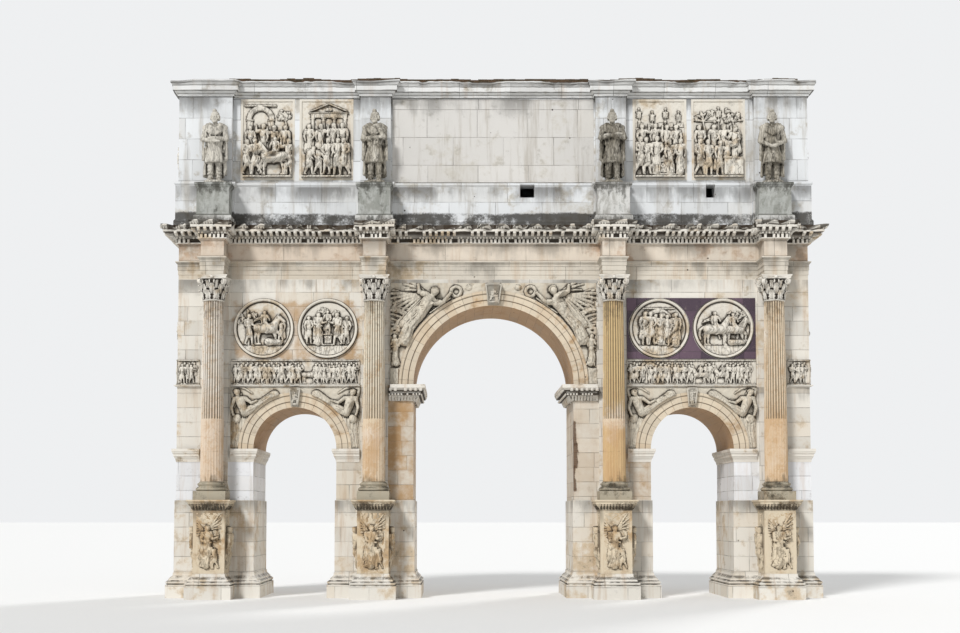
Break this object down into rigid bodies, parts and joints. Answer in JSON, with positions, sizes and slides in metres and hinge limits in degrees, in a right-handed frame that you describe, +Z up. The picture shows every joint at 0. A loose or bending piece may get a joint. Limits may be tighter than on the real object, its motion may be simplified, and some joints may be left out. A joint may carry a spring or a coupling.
{
  "type": "triumphal arch",
  "caption": "Marble triumphal arch with a tall middle passage and lower side passages, fluted columns on pedestals, roundels, robed statues and a hollow attic.",
  "frame": {"origin": "the middle of the arch on the ground", "axes": "+X along the arch to the right as seen from the front, +Y from the front to the back, +Z up"},
  "size_m": [27.2, 7.4888, 21.43],
  "materials": {
    "marble": "matte",
    "warm_marble": "matte",
    "crusted_marble": "matte",
    "yellow_marble": "satin",
    "porphyry": "satin",
    "grey_marble": "satin",
    "statue_marble": "matte",
    "brick": "matte"
  },
  "bodies": {
    "root": {"pier_bases": "marble", "pier_dados": "marble", "pedestals": "warm_marble", "left_outer_pier": "marble", "left_inner_pier": "marble", "right_inner_pier": "marble", "right_outer_pier": "marble", "side_imposts": "marble", "central_imposts": "warm_marble", "left_arch_wall": "marble", "right_arch_wall": "marble", "left_upper_wall": "marble", "right_upper_wall": "marble", "central_arch_wall": "marble", "left_arch_ring": "marble", "right_arch_ring": "marble", "central_arch_ring": "marble", "keystones": "warm_marble", "central_spandrels": "warm_marble", "side_spandrels": "warm_marble", "string_courses": "marble", "figured_bands": "warm_marble", "porphyry_slabs": "porphyry", "roundels": "warm_marble", "pilasters": "marble", "column_bases": "crusted_marble", "column_shafts": "yellow_marble", "column_capitals": "marble", "architrave": "marble", "frieze_course": "marble", "dentil_course": "marble", "bracket_course": "marble", "main_cornice": "crusted_marble", "attic_dado_front": "marble", "attic_dado_back": "marble", "attic_dado_ends": "marble", "attic_wall_front": "marble", "attic_wall_back": "marble", "attic_wall_ends": "marble", "attic_piers": "marble", "relief_panels": "warm_marble", "inscription_slabs": "marble", "statue_pedestals": "grey_marble", "statues": "statue_marble", "attic_cornice": "marble", "roof_coping": "brick"}
  },
  "joints": []
}
